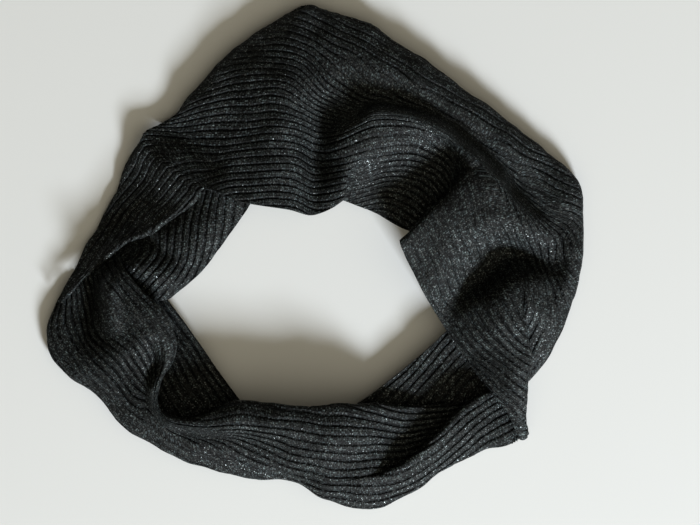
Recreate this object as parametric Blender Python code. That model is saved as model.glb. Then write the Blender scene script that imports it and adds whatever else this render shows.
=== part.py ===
"""Infinity scarf of fine rib knit, laid in a loose ring on a flat surface.

The frame is +Z up with its origin on the surface, under the middle of the ring. Tables and named
sizes are in millimetres, and the finished meshes are in metres. The band is a wall of knit that is
lofted through sections across it. Each stretch of the band that shows is one closed solid, and the
folded layers beneath them are one rounded solid with a flat underside.
"""

import math
from typing import NamedTuple

import bmesh
import bpy
import numpy as np
from mathutils import Vector
from mathutils.bvhtree import BVHTree

MM = 0.001
KNIT = 2.4  # thickness of the ribbed wall
SEAM = 0.4  # gap between stretches that continue one another
CLEARANCE = 0.6  # gap between the hidden layers and the stretches that lie on them
REST = 0.5  # height of a rolled edge's lowest side over the surface
STEPS = 2  # rows of faces from one section to the next
PROFILE_SAMPLES = 61  # points that a section's curve is first read at
KNIT_COLOUR = (0.014, 0.016, 0.017, 1.0)
SHADE_STEP = 0.0015


class Band(NamedTuple):
    """A section of the upper half of the ring, from its outer edge to its inner edge."""

    outer: tuple
    shoulder: tuple
    crease: tuple
    ridge: tuple
    waist: tuple
    inner: tuple


class Lower(NamedTuple):
    """A section of the lower half of the ring, from its outer edge to its inner edge."""

    outer: tuple
    hem: tuple
    seam: tuple
    middle: tuple
    upper: tuple
    inner: tuple


class Layer(NamedTuple):
    """A section of the layer between the upper left flap and the opening, from left to right."""

    hidden: tuple
    left: tuple
    middle: tuple
    right: tuple
    inner: tuple


class Under(NamedTuple):
    """A section of a lowest layer, from the opening's edge to its hidden side."""

    edge: tuple
    middle: tuple
    deep: tuple


class Fold(NamedTuple):
    """A soft ridge, or a trough where the height is negative, along a path seen from above."""

    name: str
    path: tuple
    width: float
    height: float


class Roll(NamedTuple):
    """A side that folds under: its largest radius, its hidden reach and how far each row turns."""

    radius: float
    reach: float
    turns: tuple


# From the tip of the upper left flap to the fold where the band turns over into the top.
FLAP_ROWS = (
    ((-180, -30, 9), (-178.5, -31, 9.5), (-177, -32, 10.5)),
    ((-172, -16, 7), (-169, -17.5, 9), (-164, -17, 13)),
    ((-164, -1, 5), (-156, -3, 11), (-148, -3, 17)),
    ((-153, 20, 4), (-143, 13, 9), (-132, 10, 20)),
    ((-141, 42, 4), (-128, 29, 8), (-114, 17, 23)),
    ((-131, 67, 5), (-114, 49, 12), (-94, 31, 25)),
)

# From the upper left fold over the top and down the right side. Where the inner column steps
# back, the cloth lies in a pleat.
TOP_ROWS = (
    Band((-15, 168, 4), (-52, 135, 4), (-90, 96, 4), (-122, 81, 10), (-108, 62, 17), (-83, 40, 26)),
    Band((-16, 171.5, 9), (-58, 143, 9), (-97, 100.5, 9), (-114.5, 85.5, 10), (-100, 66, 18), (-76, 48, 25)),
    Band((-10, 174.5, 10), (-40, 148, 14), (-58, 118, 18), (-63, 83, 17), (-61, 65, 21), (-52, 39, 26)),
    Band((-1, 177.4, 11), (-16, 147, 20), (-20, 119, 26), (-22, 92, 30), (-21, 71, 29), (-18, 33.5, 27)),
    Band((18, 170.5, 11), (11, 144, 19), (6, 118, 20), (1, 88, 12), (0, 67, 10), (0, 30, 16)),
    Band((39, 164, 11), (33, 141, 20), (25, 112, 19), (17, 86, 26), (20, 67, 27), (20, 41, 19)),
    Band((54, 155, 11), (47, 136, 20), (37, 109, 19), (31, 93, 30), (34, 71, 28), (5, 46, 10)),
    Band((68, 146, 11), (61, 129, 20), (51, 109, 19), (44, 99, 31), (44, 70, 24), (13, 43, 8)),
    Band((89, 132, 11), (82, 118, 20), (74, 104, 19), (67, 97, 30), (67, 72, 19), (41, 32, 9)),
    Band((110, 116, 11), (104, 104, 19), (96, 93, 18), (88, 88, 30), (88, 74, 18), (63, 20, 9)),
    Band((124, 106, 11), (118, 94, 18), (110, 82, 17), (101, 78, 31), (98, 69, 21), (88, 14, 8)),
    Band((137, 96, 11), (131, 84, 17), (121, 73, 16), (111, 71, 33), (105, 62, 28), (82, 15, 16)),
    Band((148, 86, 11), (142, 73, 16), (130, 64, 15), (119, 62, 34), (108, 60, 31), (61, 12, 31)),
    Band((167, 71, 11), (158, 57, 14), (142, 49, 14), (130, 48, 34), (113, 46, 36), (62, 3, 31)),
    Band((185, 53, 9), (176, 39, 16), (155, 35, 14), (141, 32, 32), (115, 25, 35), (69, -11, 28)),
    Band((188, 30, 9), (180, 20, 16), (167, 18, 17), (149, 17, 28), (119, 17, 30), (76, -25, 25)),
    Band((188, 8, 9), (180, -1, 17), (166, -3, 15), (148, 1, 14), (124, -6, 14), (84, -38, 19)),
    Band((185, -16, 9), (176, -21, 18), (164, -22, 21), (146, -18, 29), (124, -24, 31), (92, -51, 17)),
    Band((179, -37, 9), (170, -39, 19), (160, -39, 25), (145, -36, 33), (127, -43, 33), (100, -62, 16)),
)

# The outer bulge, on under the right flap: outer, shoulder, crease and ridge.
BULGE_ROWS = (
    ((169, -60, 8), (163, -60, 15), (155, -58, 19), (141, -55, 18)),
    ((159, -75, 8), (154, -74, 11), (148, -71, 13), (138, -68, 13)),
    ((150, -86, 7), (146, -84, 8), (142, -81, 8), (135, -77, 8)),
)

# The right flap on top of it, down to its lower fold: ridge, waist and inner.
TAIL_ROWS = (
    ((147, -53, 30), (132, -62, 29), (107, -73, 16)),
    ((151, -71, 26), (137, -77, 27), (116, -85, 18)),
    ((149, -88, 22), (140, -92, 24), (124, -95, 21)),
    ((148, -107, 17), (142, -108, 19), (135, -109, 18)),
    ((148.5, -124, 10.5), (145.5, -126.5, 11), (142.5, -126, 11.5)),
)

# From under the upper left flap, down the left side and along the bottom.
LOWER_ROWS = (
    Lower((-180, -29, 4), (-176, -24, 4), (-171, -19, 4), (-162, -8, 3), (-152, -1, 4), (-139, 8, 7)),
    Lower(
        (-187, -50, 5), (-179, -46, 8), (-170, -41, 8),
        (-156, -31, 8), (-144, -20, 18), (-132, -10, 22),
    ),
    Lower(
        (-185, -69, 6), (-174, -64, 12), (-165, -60, 14),
        (-152, -51, 14), (-129, -37, 26), (-115, -27, 25),
    ),
    Lower(
        (-169, -86, 9), (-160, -80, 16), (-151, -74, 20),
        (-134, -62, 25), (-117, -50, 28), (-102, -42, 25),
    ),
    Lower(
        (-153, -97, 9), (-146, -91, 17), (-139, -85, 21),
        (-125, -74, 23), (-110, -64, 27), (-96, -57, 24),
    ),
    Lower(
        (-138, -115, 9), (-132, -107, 17), (-127, -101, 21),
        (-119, -90, 22), (-109, -80, 26), (-98, -71, 23),
    ),
    Lower(
        (-118.5, -129.5, 9), (-115, -121, 17), (-115, -116, 21),
        (-114, -106, 24), (-112, -97, 25), (-107, -86, 21),
    ),
    Lower(
        (-96.5, -141, 9), (-95, -134, 16), (-97, -129, 21),
        (-99, -120, 25), (-104, -112, 26), (-111, -102, 21),
    ),
    Lower(
        (-71, -150, 9), (-71, -144, 16), (-73, -137, 21),
        (-76, -126, 26), (-80, -118, 30), (-88, -111, 25),
    ),
    Lower(
        (-48, -155, 9), (-48, -148, 16), (-48, -141, 21),
        (-48, -127, 27), (-50, -115, 34), (-54, -99, 29),
    ),
    Lower(
        (-16, -158, 9), (-17, -151, 16), (-18, -144, 22),
        (-18, -130, 29), (-18, -116, 34), (-18, -102, 30),
    ),
    Lower((10, -171, 9), (10, -164, 16), (11, -155, 22), (12, -137, 29), (12, -120, 33), (12, -102, 30)),
    Lower((38, -176, 9), (38, -165, 16), (36, -152, 22), (36, -135, 24), (35, -119, 29), (34, -102, 28)),
)

# The lower right corner, on under the right flap: outer, hem and seam.
CORNER_ROWS = (
    ((66, -167, 9), (62, -157, 19), (57, -146, 24)),
    ((92, -149, 9), (87, -138, 19), (82, -126, 26)),
    ((117, -136, 9), (109, -120, 18), (101, -105, 25)),
    ((134, -130, 7), (127, -113, 12), (120, -94, 17)),
    ((143, -126, 4), (138, -110, 6), (131, -92, 10)),
)

# The bottom band where it sinks into the valley under the corner: seam, middle, upper and inner.
VALLEY_ROWS = (
    ((57, -151, 12), (56, -134, 13), (56, -118, 17), (60, -103, 19)),
    ((75, -144, 9), (75, -128, 9), (79, -114, 11), (88, -102, 12)),
    ((90, -137, 8), (93, -124, 8.5), (98, -112, 9.5), (105, -102, 10)),
)

# The layer under the top and the upper left flap, with the pleat at its lower end.
LAYER_ROWS = (
    Layer((-105, 36, 6), (-90, 43, 9), (-75, 50, 12), (-60, 46, 14), (-43, 41, 14)),
    Layer((-115, 22, 5), (-100, 28, 9), (-84, 32, 13), (-69, 31, 15), (-52, 27, 12)),
    Layer((-131, 17, 5), (-111, 14, 11), (-96, 13, 14), (-80, 13, 16), (-63, 12, 11)),
    Layer((-137, 6, 8), (-120, 3, 16), (-105, 0, 15), (-90, -3, 15), (-75, -4, 10)),
    Layer((-135, -4, 10), (-124, -8, 18), (-113, -13, 18), (-100, -17, 14), (-87, -17, 9)),
    Layer((-132, -14, 8), (-125, -20, 12), (-117, -26, 12), (-108, -29, 11), (-101, -27, 9)),
)

# The lowest layers that show beside the opening, from its upper end to its lower end.
UNDER_LEFT_ROWS = (
    Under((-110, -20, 5), (-122, -24, 5), (-135, -29, 5)),
    Under((-94, -41, 8), (-105, -47, 7), (-119, -57, 5)),
    Under((-77, -65, 10), (-90, -71, 8), (-112, -84, 5)),
    Under((-61, -88, 10), (-77, -94, 8), (-112, -103, 5)),
    Under((-47, -106, 10), (-63, -113, 8), (-90, -123, 5)),
)

UNDER_RIGHT_ROWS = (
    Under((23, -106, 8), (33, -112, 7), (44, -119, 5)),
    Under((42, -93, 10), (54, -101, 8), (66, -112, 5)),
    Under((70, -71, 12), (81, -84, 8.5), (99, -108, 5)),
    Under((92, -51, 11), (103, -66, 8.5), (122, -97, 5)),
    Under((105, -42, 11), (117, -59, 8.5), (131, -80, 5)),
)

# Folds too small to show in the sections: name, path, width and height.
TOP_FOLDS = (
    Fold("upper left trough", ((-105, 93), (-88, 82), (-70, 68)), 9, -4),
    Fold("right hollow", ((113, 7), (130, 5), (150, 2), (168, -8)), 8, -4),
)
LOWER_FOLDS = (
    Fold("left pocket", ((-152, -6), (-157, -27), (-160, -48)), 8, -5),
    Fold("pocket's ridge", ((-143, -13), (-143, -28), (-140, -46)), 6, 8),
    Fold("dimple", ((-113, -62), (-112, -72), (-114, -82)), 6, -9),
    Fold("soft crease", ((-97, -119), (-70, -121), (-45, -120)), 6, -3),
)
LAYER_FOLDS = (
    Fold("lobe", ((-134, -3), (-117, -9), (-102, -21)), 7, 4),
    Fold("lobe's trough", ((-116, 12), (-102, 3), (-88, -9)), 6, -4),
)

CORE_BEARINGS = 56  # sections round the ring of hidden layers
CORE_FINE = 4  # soundings between two of those sections
CORE_REACH = (40.0, 200.0)  # nearest and farthest that the layers may lie from the middle
CORE_STEP = 1.0  # distance between soundings outwards
SOUNDING_SPREAD = ((0, 0), (0.5, 0.5), (-0.5, 0.5), (0.5, -0.5), (-0.5, -0.5))
CORE_LEAST = 2.8  # least height of the hidden layers
RIM_SWING = 9.0  # most that a rim moves in or out from one section to the next
CORE_INSET = 2.0  # how far they stay behind the place where the room ends
CORE_THINNEST = 1.2  # height that they keep where almost no room is left
CORE_NARROWEST = 14.0  # least width of their ring
SETTLING_ROUNDS = 12  # passes that lower them under the stretches
FACE_SAMPLES = 6  # places along and across each face where those passes compare heights
LAYER_HEIGHT = 5.0  # height of one folded layer at the rims
LAYER_SETBACK = 3.0  # how far each layer lies behind the one beneath it
# Rings of the hidden layers: how far each lies behind its own rim, in setbacks. The rest of the
# rings share the width that is left.
RIM_SETBACKS = (0.0, 0.25, 1.0, 1.25, 2.2)
MIDDLE_RINGS = 3


def catmull_rom(points, place):
    """Points of a smooth curve through the given ones, at fractional places along them."""
    points = np.asarray(points, float)
    last = len(points) - 1
    place = np.clip(np.asarray(place, float), 0, last)
    index = np.minimum(place.astype(int), last - 1)
    t = (place - index).reshape(-1, *([1] * (points.ndim - 1)))
    before = np.where(index == 0, 0, index - 1)
    after = np.minimum(index + 2, last)
    p0, p1, p2, p3 = points[before], points[index], points[index + 1], points[after]
    m1 = (p2 - p0) / 2
    m2 = (p3 - p1) / 2
    return (
        (2 * t**3 - 3 * t**2 + 1) * p1
        + (t**3 - 2 * t**2 + t) * m1
        + (3 * t**2 - 2 * t**3) * p2
        + (t**3 - t**2) * m2
    )


def fold_height(folds, points):
    """Height that the folds add at points, from their distance to each fold's path."""
    total = np.zeros(points.shape[:-1])
    for fold in folds:
        path = catmull_rom(fold.path, np.linspace(0, len(fold.path) - 1, 24))
        apart = points[..., None, :2] - path
        distance = np.sqrt((apart**2).sum(-1))
        nearest = distance.argmin(-1) / (len(path) - 1)
        fade = np.sin(math.pi * np.clip(nearest * 0.8 + 0.1, 0, 1)) ** 0.5
        total += fold.height * fade * np.exp(-((distance.min(-1) / fold.width) ** 2))
    return total


def surface(rows, folds, along, across):
    """Grid of points on the loft through rows of sections, at places along and across them."""
    sections = catmull_rom(np.array(rows, float), along)
    grid = catmull_rom(sections.transpose(1, 0, 2), across).transpose(1, 0, 2)
    grid[..., 2] += fold_height(folds, grid)
    return grid


def unit(vectors):
    """Vectors at length one."""
    return vectors / np.maximum(np.linalg.norm(vectors, axis=-1, keepdims=True), 1e-9)


def facing(rows, folds, along, across):
    """Upward normals of the loft, from steps to each side that run on past its edges."""
    step = 0.02
    ahead = surface(rows, folds, along + step, across) - surface(rows, folds, along - step, across)
    aside = surface(rows, folds, along, across + step) - surface(rows, folds, along, across - step)
    normal = unit(np.cross(ahead, aside))
    return normal * np.where(np.median(normal[..., 2]) < 0, -1, 1)


def rolled(points, normals, roll, turn):
    """A profile whose last point is an edge, with that edge turned under."""
    if turn < 0.02:
        return points, normals
    to_edge = np.linalg.norm(points[:, :2] - points[-1, :2], axis=1)
    radius = turn * min(roll.radius, max(1.0, (points[-1, 2] + 1 - KNIT / 2 - REST) / 2))
    kept = to_edge > radius
    kept[0] = True
    points, normals = points[kept], normals[kept]
    lead = points[-1] - points[-2]
    out = unit(np.array([lead[0], lead[1], 0.0]))
    slope = float(np.clip(math.atan2(-lead[2], math.hypot(lead[0], lead[1])), 0.0, 1.1))
    lowest = points[-1, 2] - KNIT / 2 - REST
    radius = turn * min(roll.radius, max(1.0, lowest / (1 + math.cos(slope))))
    up = np.array([0.0, 0.0, 1.0])
    angles = np.linspace(slope, math.pi, 12)[1:]
    arc = [
        points[-1]
        + out * radius * (math.sin(a) - math.sin(slope))
        + up * radius * (math.cos(a) - math.cos(slope))
        for a in angles
    ]
    arc_normals = [out * math.sin(a) + up * math.cos(a) for a in angles]
    back = [arc[-1] - out * roll.reach * turn * share for share in (0.25, 0.5, 0.75, 1.0)]
    return (
        np.vstack([points, arc, back]),
        np.vstack([normals, arc_normals, [-up] * len(back)]),
    )


def resampled(points, normals, count):
    """A profile at evenly spaced points along it."""
    length = np.concatenate([[0], np.cumsum(np.linalg.norm(np.diff(points, axis=0), axis=1))])
    places = np.linspace(0, length[-1], count)
    spread = np.stack([np.interp(places, length, points[:, k]) for k in range(3)], -1)
    turned = np.stack([np.interp(places, length, normals[:, k]) for k in range(3)], -1)
    return spread, unit(turned)


def trimmed(points, amount):
    """A profile with this much taken off its start."""
    first = points[0] + unit(points[1] - points[0]) * amount
    return np.vstack([first, points[1:]])


class Stretch(NamedTuple):
    """A part of a loft: the rows and columns it runs between, and how its sides end."""

    name: str
    rows: list
    folds: tuple
    span: tuple
    columns: tuple
    faces_across: int
    low: Roll = None
    high: Roll = None
    seams: tuple = ()


def stretch_grid(stretch):
    """Grid of mid-wall points and normals of one stretch, with its sides rolled or trimmed."""
    start, end = stretch.span
    along = np.linspace(start, end, (end - start) * STEPS + 1)
    across = np.linspace(*stretch.columns, PROFILE_SAMPLES)
    grid = surface(stretch.rows, stretch.folds, along, across)
    normals = facing(stretch.rows, stretch.folds, along, across)
    if "start" in stretch.seams:
        grid[0] += unit(grid[1] - grid[0]) * SEAM / 2
    if "end" in stretch.seams:
        grid[-1] += unit(grid[-2] - grid[-1]) * SEAM / 2
    lines = []
    for place, line, turned in zip(along, grid, normals):
        for roll, flip in ((stretch.high, 1), (stretch.low, -1)):
            if roll:
                turn = float(np.interp(place, range(start, end + 1), roll.turns))
                line, turned = rolled(line[::flip], turned[::flip], roll, turn)
                line, turned = line[::flip], turned[::flip]
        if "low" in stretch.seams:
            line = trimmed(line, SEAM / 2)
        if "high" in stretch.seams:
            line = trimmed(line[::-1], SEAM / 2)[::-1]
        lines.append(resampled(line, turned, stretch.faces_across + 1))
    return np.array([line for line, _ in lines]), np.array([turned for _, turned in lines])


def wall(name, grid, normals, colour):
    """Closed wall of the knit's thickness about a grid of points, as one object."""
    down, across = grid.shape[:2]
    mesh = bmesh.new()
    sides = []
    for side in (0.5, -0.5):
        points = (grid + normals * KNIT * side) * MM
        sides.append([[mesh.verts.new(point) for point in line] for line in points])
    top, under = sides
    for i in range(down - 1):
        for j in range(across - 1):
            mesh.faces.new((top[i][j], top[i + 1][j], top[i + 1][j + 1], top[i][j + 1]))
            mesh.faces.new((under[i][j], under[i][j + 1], under[i + 1][j + 1], under[i + 1][j]))
    rim = [(i, 0) for i in range(down)]
    rim += [(down - 1, j) for j in range(1, across)]
    rim += [(i, across - 1) for i in range(down - 2, -1, -1)]
    rim += [(0, j) for j in range(across - 2, 0, -1)]
    for (i, j), (k, m) in zip(rim, rim[1:] + rim[:1]):
        mesh.faces.new((top[i][j], under[i][j], under[k][m], top[k][m]))
    bmesh.ops.recalc_face_normals(mesh, faces=mesh.faces)
    return finished(name, mesh, colour)


def finished(name, mesh, colour):
    """Object of a bmesh, with its own material, shaded smooth apart from its rims."""
    bmesh.ops.triangulate(mesh, faces=mesh.faces)
    data = bpy.data.meshes.new(name)
    mesh.to_mesh(data)
    mesh.free()
    data.shade_smooth()
    data.set_sharp_from_angle(angle=math.radians(50))
    data.materials.append(knit_material(name, colour))
    made = bpy.data.objects.new(name, data)
    bpy.context.scene.collection.objects.link(made)
    return made


def knit_material(name, colour):
    """Soft black knit, with a faint sheen from its glitter thread."""
    material = bpy.data.materials.new(name + "_knit")
    material.use_nodes = True
    shader = material.node_tree.nodes["Principled BSDF"]
    shader.inputs["Base Color"].default_value = colour
    shader.inputs["Roughness"].default_value = 0.88
    shader.inputs["Metallic"].default_value = 0.0
    shader.inputs["Sheen Weight"].default_value = 0.2
    return material


def soundings(stretches):
    """Height that the stretches leave free over the surface, by bearing and by distance.

    Each sounding is the lowest of a few close together, so that none slips through a seam.
    """
    points, faces = [], []
    for item in stretches:
        faces += [[corner + len(points) for corner in face.vertices] for face in item.data.polygons]
        points += [vertex.co for vertex in item.data.vertices]
    covers = BVHTree.FromPolygons(points, faces)
    reach = np.arange(*CORE_REACH, CORE_STEP)
    room = np.zeros((CORE_BEARINGS * CORE_FINE, len(reach)))
    for i, bearing in enumerate(np.linspace(0, math.tau, len(room), endpoint=False)):
        for j, distance in enumerate(reach):
            x, y = math.cos(bearing) * distance, math.sin(bearing) * distance
            hits = [
                covers.ray_cast(Vector((x + dx, y + dy, -10)) * MM, Vector((0, 0, 1)))[0]
                for dx, dy in SOUNDING_SPREAD
            ]
            room[i, j] = min((hit.z / MM for hit in hits if hit is not None), default=0) - CLEARANCE
    return reach, room


def least_about(room, bearings, rings):
    """The least room within so many soundings to each side of each one."""
    least = room.copy()
    for turned in range(-bearings, bearings + 1):
        least = np.minimum(least, np.roll(room, turned, 0))
    wide = least.copy()
    for shift in range(1, rings + 1):
        wide[:, shift:] = np.minimum(wide[:, shift:], least[:, :-shift])
        wide[:, :-shift] = np.minimum(wide[:, :-shift], least[:, shift:])
    return wide


def rim_height(setback):
    """Height of the stepped rim of the folded layers, at a distance behind it."""
    layers, share = divmod(setback / LAYER_SETBACK, 1.0)
    return LAYER_HEIGHT * (layers + min(1.0, share * 2) + 0.15 * share)


def widest_run(line):
    """First and last place of the longest stretch of a line of soundings with room enough."""
    marks = np.diff(np.concatenate([[0], line > CORE_LEAST, [0]]))
    starts, ends = np.flatnonzero(marks > 0), np.flatnonzero(marks < 0)
    longest = (ends - starts).argmax()
    return starts[longest], ends[longest] - 1


def core_limits(reach, free):
    """Inner and outer distance of the hidden layers on each bearing, with smooth rims."""
    runs = np.array([widest_run(line) for line in free])
    nearest, farthest = reach[runs[:, 0]] + CORE_INSET, reach[runs[:, 1]] - CORE_INSET
    inner, outer = nearest, farthest
    for moved in range(1, CORE_BEARINGS // 2):
        swing = (moved - 1) * RIM_SWING
        for turned in (-moved, moved):
            inner = np.maximum(inner, np.roll(nearest, turned) - swing)
            outer = np.minimum(outer, np.roll(farthest, turned) + swing)
    middle = (inner + outer) / 2
    half = np.maximum(outer - inner, CORE_NARROWEST) / 2
    return middle - half, middle + half


def room_at(room, place):
    """Free height at places, from the nearest sounding to each."""
    bearing = np.arctan2(place[..., 1], place[..., 0]) / math.tau * len(room)
    distance = (np.linalg.norm(place, axis=-1) - CORE_REACH[0]) / CORE_STEP
    row = np.round(bearing).astype(int) % len(room)
    return room[row, np.clip(np.round(distance).astype(int), 0, room.shape[1] - 1)]


def settled(plan, heights, room):
    """Heights lowered until no face of the hidden layers reaches what lies over it."""
    places = [(a, b) for a in np.linspace(0, 1, FACE_SAMPLES) for b in np.linspace(0, 1, FACE_SAMPLES)]
    after = np.roll(plan, -1, 0)
    corners = (plan[:, :-1], after[:, :-1], plan[:, 1:], after[:, 1:])
    for _ in range(SETTLING_ROUNDS):
        beside = np.roll(heights, -1, 0)
        tops = (heights[:, :-1], beside[:, :-1], heights[:, 1:], beside[:, 1:])
        lower = np.zeros_like(heights)
        for a, b in places:
            weights = ((1 - a) * (1 - b), a * (1 - b), (1 - a) * b, a * b)
            place = sum(weight * corner for weight, corner in zip(weights, corners))
            height = sum(weight * top for weight, top in zip(weights, tops))
            excess = height - room_at(room, place)
            for turned in (0, 1):
                moved = np.roll(excess, turned, 0)
                lower[:, :-1] = np.maximum(lower[:, :-1], moved)
                lower[:, 1:] = np.maximum(lower[:, 1:], moved)
        heights = np.maximum(heights - lower, CORE_THINNEST)
    return heights


def hidden_layers(stretches, colour):
    """Rounded solid of the folded layers beneath the stretches, flat on the surface."""
    reach, room = soundings(stretches)
    free = least_about(room, CORE_FINE // 2, 2)[::CORE_FINE]
    plan, heights = [], []
    for i, (inner, outer) in enumerate(zip(*core_limits(reach, free))):
        setback = min(LAYER_SETBACK, (outer - inner) / (2 * RIM_SETBACKS[-1] + 1))
        behind = np.array(RIM_SETBACKS) * setback
        between = np.linspace(inner + behind[-1], outer - behind[-1], MIDDLE_RINGS + 2)[1:-1]
        places = np.concatenate([inner + behind, between, (outer - behind)[::-1]])
        bearing = math.tau * i / CORE_BEARINGS
        plan.append([(math.cos(bearing) * place, math.sin(bearing) * place) for place in places])
        to_rim = np.minimum(places - inner, outer - places)
        heights.append([CORE_LEAST + rim_height(distance) for distance in to_rim])
    tops = settled(np.array(plan), np.array(heights), least_about(room, 1, 1))
    return core_solid(plan, tops, colour)


def core_solid(plan, heights, colour):
    """Closed ring with a flat underside, from its plan and its height at each point."""
    mesh = bmesh.new()
    rims = [(line[0], line[-1]) for line in plan]
    floor = [[mesh.verts.new((x * MM, y * MM, 0.0)) for x, y in pair] for pair in rims]
    top = [
        [mesh.verts.new((x * MM, y * MM, z * MM)) for (x, y), z in zip(line, tops)]
        for line, tops in zip(plan, heights)
    ]
    for i, ((near, far), high) in enumerate(zip(floor, top)):
        k = (i + 1) % len(floor)
        next_near, next_far = floor[k]
        for j in range(len(high) - 1):
            mesh.faces.new((high[j], high[j + 1], top[k][j + 1], top[k][j]))
        mesh.faces.new((near, next_near, next_far, far))
        mesh.faces.new((near, high[0], top[k][0], next_near))
        mesh.faces.new((far, next_far, top[k][-1], high[-1]))
    bmesh.ops.recalc_face_normals(mesh, faces=mesh.faces)
    return finished("hidden_layers", mesh, colour)


def shade(step):
    """The knit's black, a little lighter for each stretch, so that neighbours can be told apart."""
    return tuple(value + step * SHADE_STEP for value in KNIT_COLOUR[:3]) + (1.0,)


def widened(rows, before, after):
    """Sections with their first and last points repeated, to give them a full set of columns."""
    return [(row[0],) * before + tuple(row) + (row[-1],) * after for row in rows]


def upper_stretches():
    """The flap, the top and the right side, which share their sections."""
    flap = widened(FLAP_ROWS, 3, 0)
    top = [tuple(row) for row in TOP_ROWS]
    outer_rows = flap + top + widened(BULGE_ROWS, 0, 2)
    inner_rows = flap + top + widened(TAIL_ROWS, 3, 0)
    fold_row = len(flap) + 1
    apex = len(flap) + len(top) - 1
    outer_end = len(outer_rows) - 1
    inner_end = len(inner_rows) - 1
    outer_roll = Roll(6, 9, (0.3, 0.8) + (1,) * (outer_end - fold_row - 1) + (0.6,))
    right_roll = Roll(3, 8, (0,) * (apex - fold_row + 1) + (0.6, 1, 1, 1, 0.3))
    flap_outer = Roll(6, 9, (0, 0, 0.2, 0.6, 1, 0.8, 0, 0))
    flap_inner = Roll(2.5, 5, (0, 0.4, 0.8, 1, 1, 1, 0.7, 0))
    return (
        Stretch(
            "top_outer_stretch", outer_rows, TOP_FOLDS, (fold_row - 1, outer_end), (0, 3), 10,
            low=outer_roll, seams=("high",),
        ),
        Stretch(
            "top_inner_stretch", inner_rows, TOP_FOLDS, (fold_row, inner_end), (3, 5), 11,
            low=right_roll, seams=("start", "low"),
        ),
        Stretch(
            "left_flap_stretch", inner_rows, TOP_FOLDS, (0, fold_row), (3, 5), 9,
            low=flap_outer, high=flap_inner, seams=("end",),
        ),
    )


def lower_stretches():
    """The lower left and the bottom, which share their sections."""
    common = [tuple(row) for row in LOWER_ROWS]
    outer_rows = common + widened(CORNER_ROWS, 0, 3)
    inner_rows = common + widened(VALLEY_ROWS, 2, 0)
    split = len(common) - 1
    outer_end = len(outer_rows) - 1
    inner_end = len(inner_rows) - 1
    outer_roll = Roll(6, 9, (0, 0.6) + (1,) * (outer_end - 3) + (0.6, 0))
    corner_roll = Roll(3, 6, (0,) * (split + 1) + (0.5, 1, 1, 0.5, 0))
    inner_roll = Roll(3, 7, (0, 0.6) + (1,) * (inner_end - 3) + (0.5, 0))
    return (
        Stretch(
            "lower_outer_stretch", outer_rows, LOWER_FOLDS, (0, outer_end), (0, 2), 8,
            low=outer_roll, high=corner_roll, seams=("high",),
        ),
        Stretch(
            "lower_inner_stretch", inner_rows, LOWER_FOLDS, (0, inner_end), (2, 5), 11,
            high=inner_roll, seams=("low",),
        ),
    )


def lower_layers():
    """The layers that show beneath the others, beside the opening."""
    layer = [tuple(row) for row in LAYER_ROWS]
    left = [tuple(row) for row in UNDER_LEFT_ROWS]
    right = [tuple(row) for row in UNDER_RIGHT_ROWS]
    return (
        Stretch("left_inner_stretch", layer, LAYER_FOLDS, (0, len(layer) - 1), (0, 4), 8),
        Stretch("under_left_stretch", left, (), (0, len(left) - 1), (0, 2), 4),
        Stretch("under_right_stretch", right, (), (0, len(right) - 1), (0, 2), 4),
    )


def build():
    """Every stretch of the scarf and the layers beneath them."""
    for old in list(bpy.data.objects):
        bpy.data.objects.remove(old, do_unlink=True)
    stretches = []
    for step, stretch in enumerate(upper_stretches() + lower_stretches() + lower_layers()):
        grid, normals = stretch_grid(stretch)
        stretches.append(wall(stretch.name, grid, normals, shade(step)))
    hidden_layers(stretches, KNIT_COLOUR)


build()
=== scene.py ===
"""Looks of an infinity scarf: black rib knit with glitter thread, laid in a loose, folded ring.

Sizes are in millimetres where nothing else is said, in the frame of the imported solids. Every
stretch of the band is a fine wall of knit, lofted through sections across it. Each point of a
section carries its rib number, so the ribs run on unbroken from one stretch to the next.
"""

from __future__ import annotations

import logging
import math
from collections.abc import Sequence
from dataclasses import dataclass, field
from enum import Enum
from typing import NamedTuple

import bpy
import numpy as np
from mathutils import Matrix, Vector

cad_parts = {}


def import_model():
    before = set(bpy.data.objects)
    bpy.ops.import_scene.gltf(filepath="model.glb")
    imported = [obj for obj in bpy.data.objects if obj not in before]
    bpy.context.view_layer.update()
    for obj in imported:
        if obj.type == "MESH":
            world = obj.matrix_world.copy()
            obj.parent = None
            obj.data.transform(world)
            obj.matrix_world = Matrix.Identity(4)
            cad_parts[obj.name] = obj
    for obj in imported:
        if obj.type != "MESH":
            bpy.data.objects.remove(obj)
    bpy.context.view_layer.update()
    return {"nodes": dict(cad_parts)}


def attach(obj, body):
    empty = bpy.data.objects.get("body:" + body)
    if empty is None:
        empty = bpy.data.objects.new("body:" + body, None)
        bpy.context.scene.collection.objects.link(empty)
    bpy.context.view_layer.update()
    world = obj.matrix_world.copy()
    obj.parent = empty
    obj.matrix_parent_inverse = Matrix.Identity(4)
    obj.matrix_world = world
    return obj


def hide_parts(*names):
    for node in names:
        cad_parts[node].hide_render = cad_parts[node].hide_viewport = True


LOG = logging.getLogger("infinity_scarf")

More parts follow.
